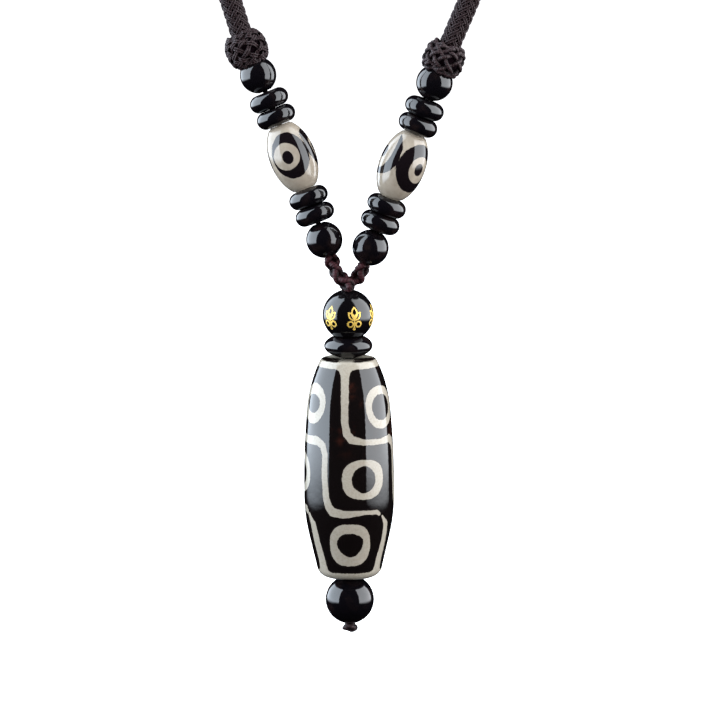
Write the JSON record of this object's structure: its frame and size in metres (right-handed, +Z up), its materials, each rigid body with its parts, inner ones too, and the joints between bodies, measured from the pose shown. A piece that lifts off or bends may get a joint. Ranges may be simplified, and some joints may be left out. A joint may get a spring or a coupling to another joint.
{
  "type": "dzi bead necklace",
  "caption": "Worn bead necklace: braided neck cord, woven ball knots, agate side beads and a barrel pendant bead with etched eyes.",
  "frame": {"origin": "the inner side of the neck cord at the nape, where the necklace lies on the back of the neck", "axes": "+Z up, -Y forward to the pendant, +X to the right in the front view"},
  "size_m": [0.139, 0.1398, 0.2808],
  "materials": {
    "cord": "dark brown braided and knotted waxed thread",
    "thread": "dark brown beading thread",
    "black_agate": "polished black agate",
    "gilt_agate": "polished black agate with gold work sunk in its surface",
    "eye_agate": "polished ivory agate with black eyes",
    "dzi_agate": "polished dark brown agate with etched ivory lines"
  },
  "bodies": {
    "root": {"neck_cord": "cord", "knot_left": "cord", "knot_right": "cord", "thread_left": "thread", "thread_right": "thread", "round_left_top": "black_agate", "disc_left_1": "black_agate", "disc_left_2": "black_agate", "eye_left": "eye_agate", "disc_left_3": "black_agate", "disc_left_4": "black_agate", "round_left_low": "black_agate", "round_right_top": "black_agate", "disc_right_1": "black_agate", "disc_right_2": "black_agate", "eye_right": "eye_agate", "disc_right_3": "black_agate", "disc_right_4": "black_agate", "round_right_low": "black_agate", "link_left": "cord", "link_right": "cord", "gilt_bead": "gilt_agate", "centre_disc": "black_agate", "dzi_bead": "dzi_agate", "end_bead": "black_agate", "pendant_thread": "thread", "end_knot": "cord"}
  },
  "joints": []
}
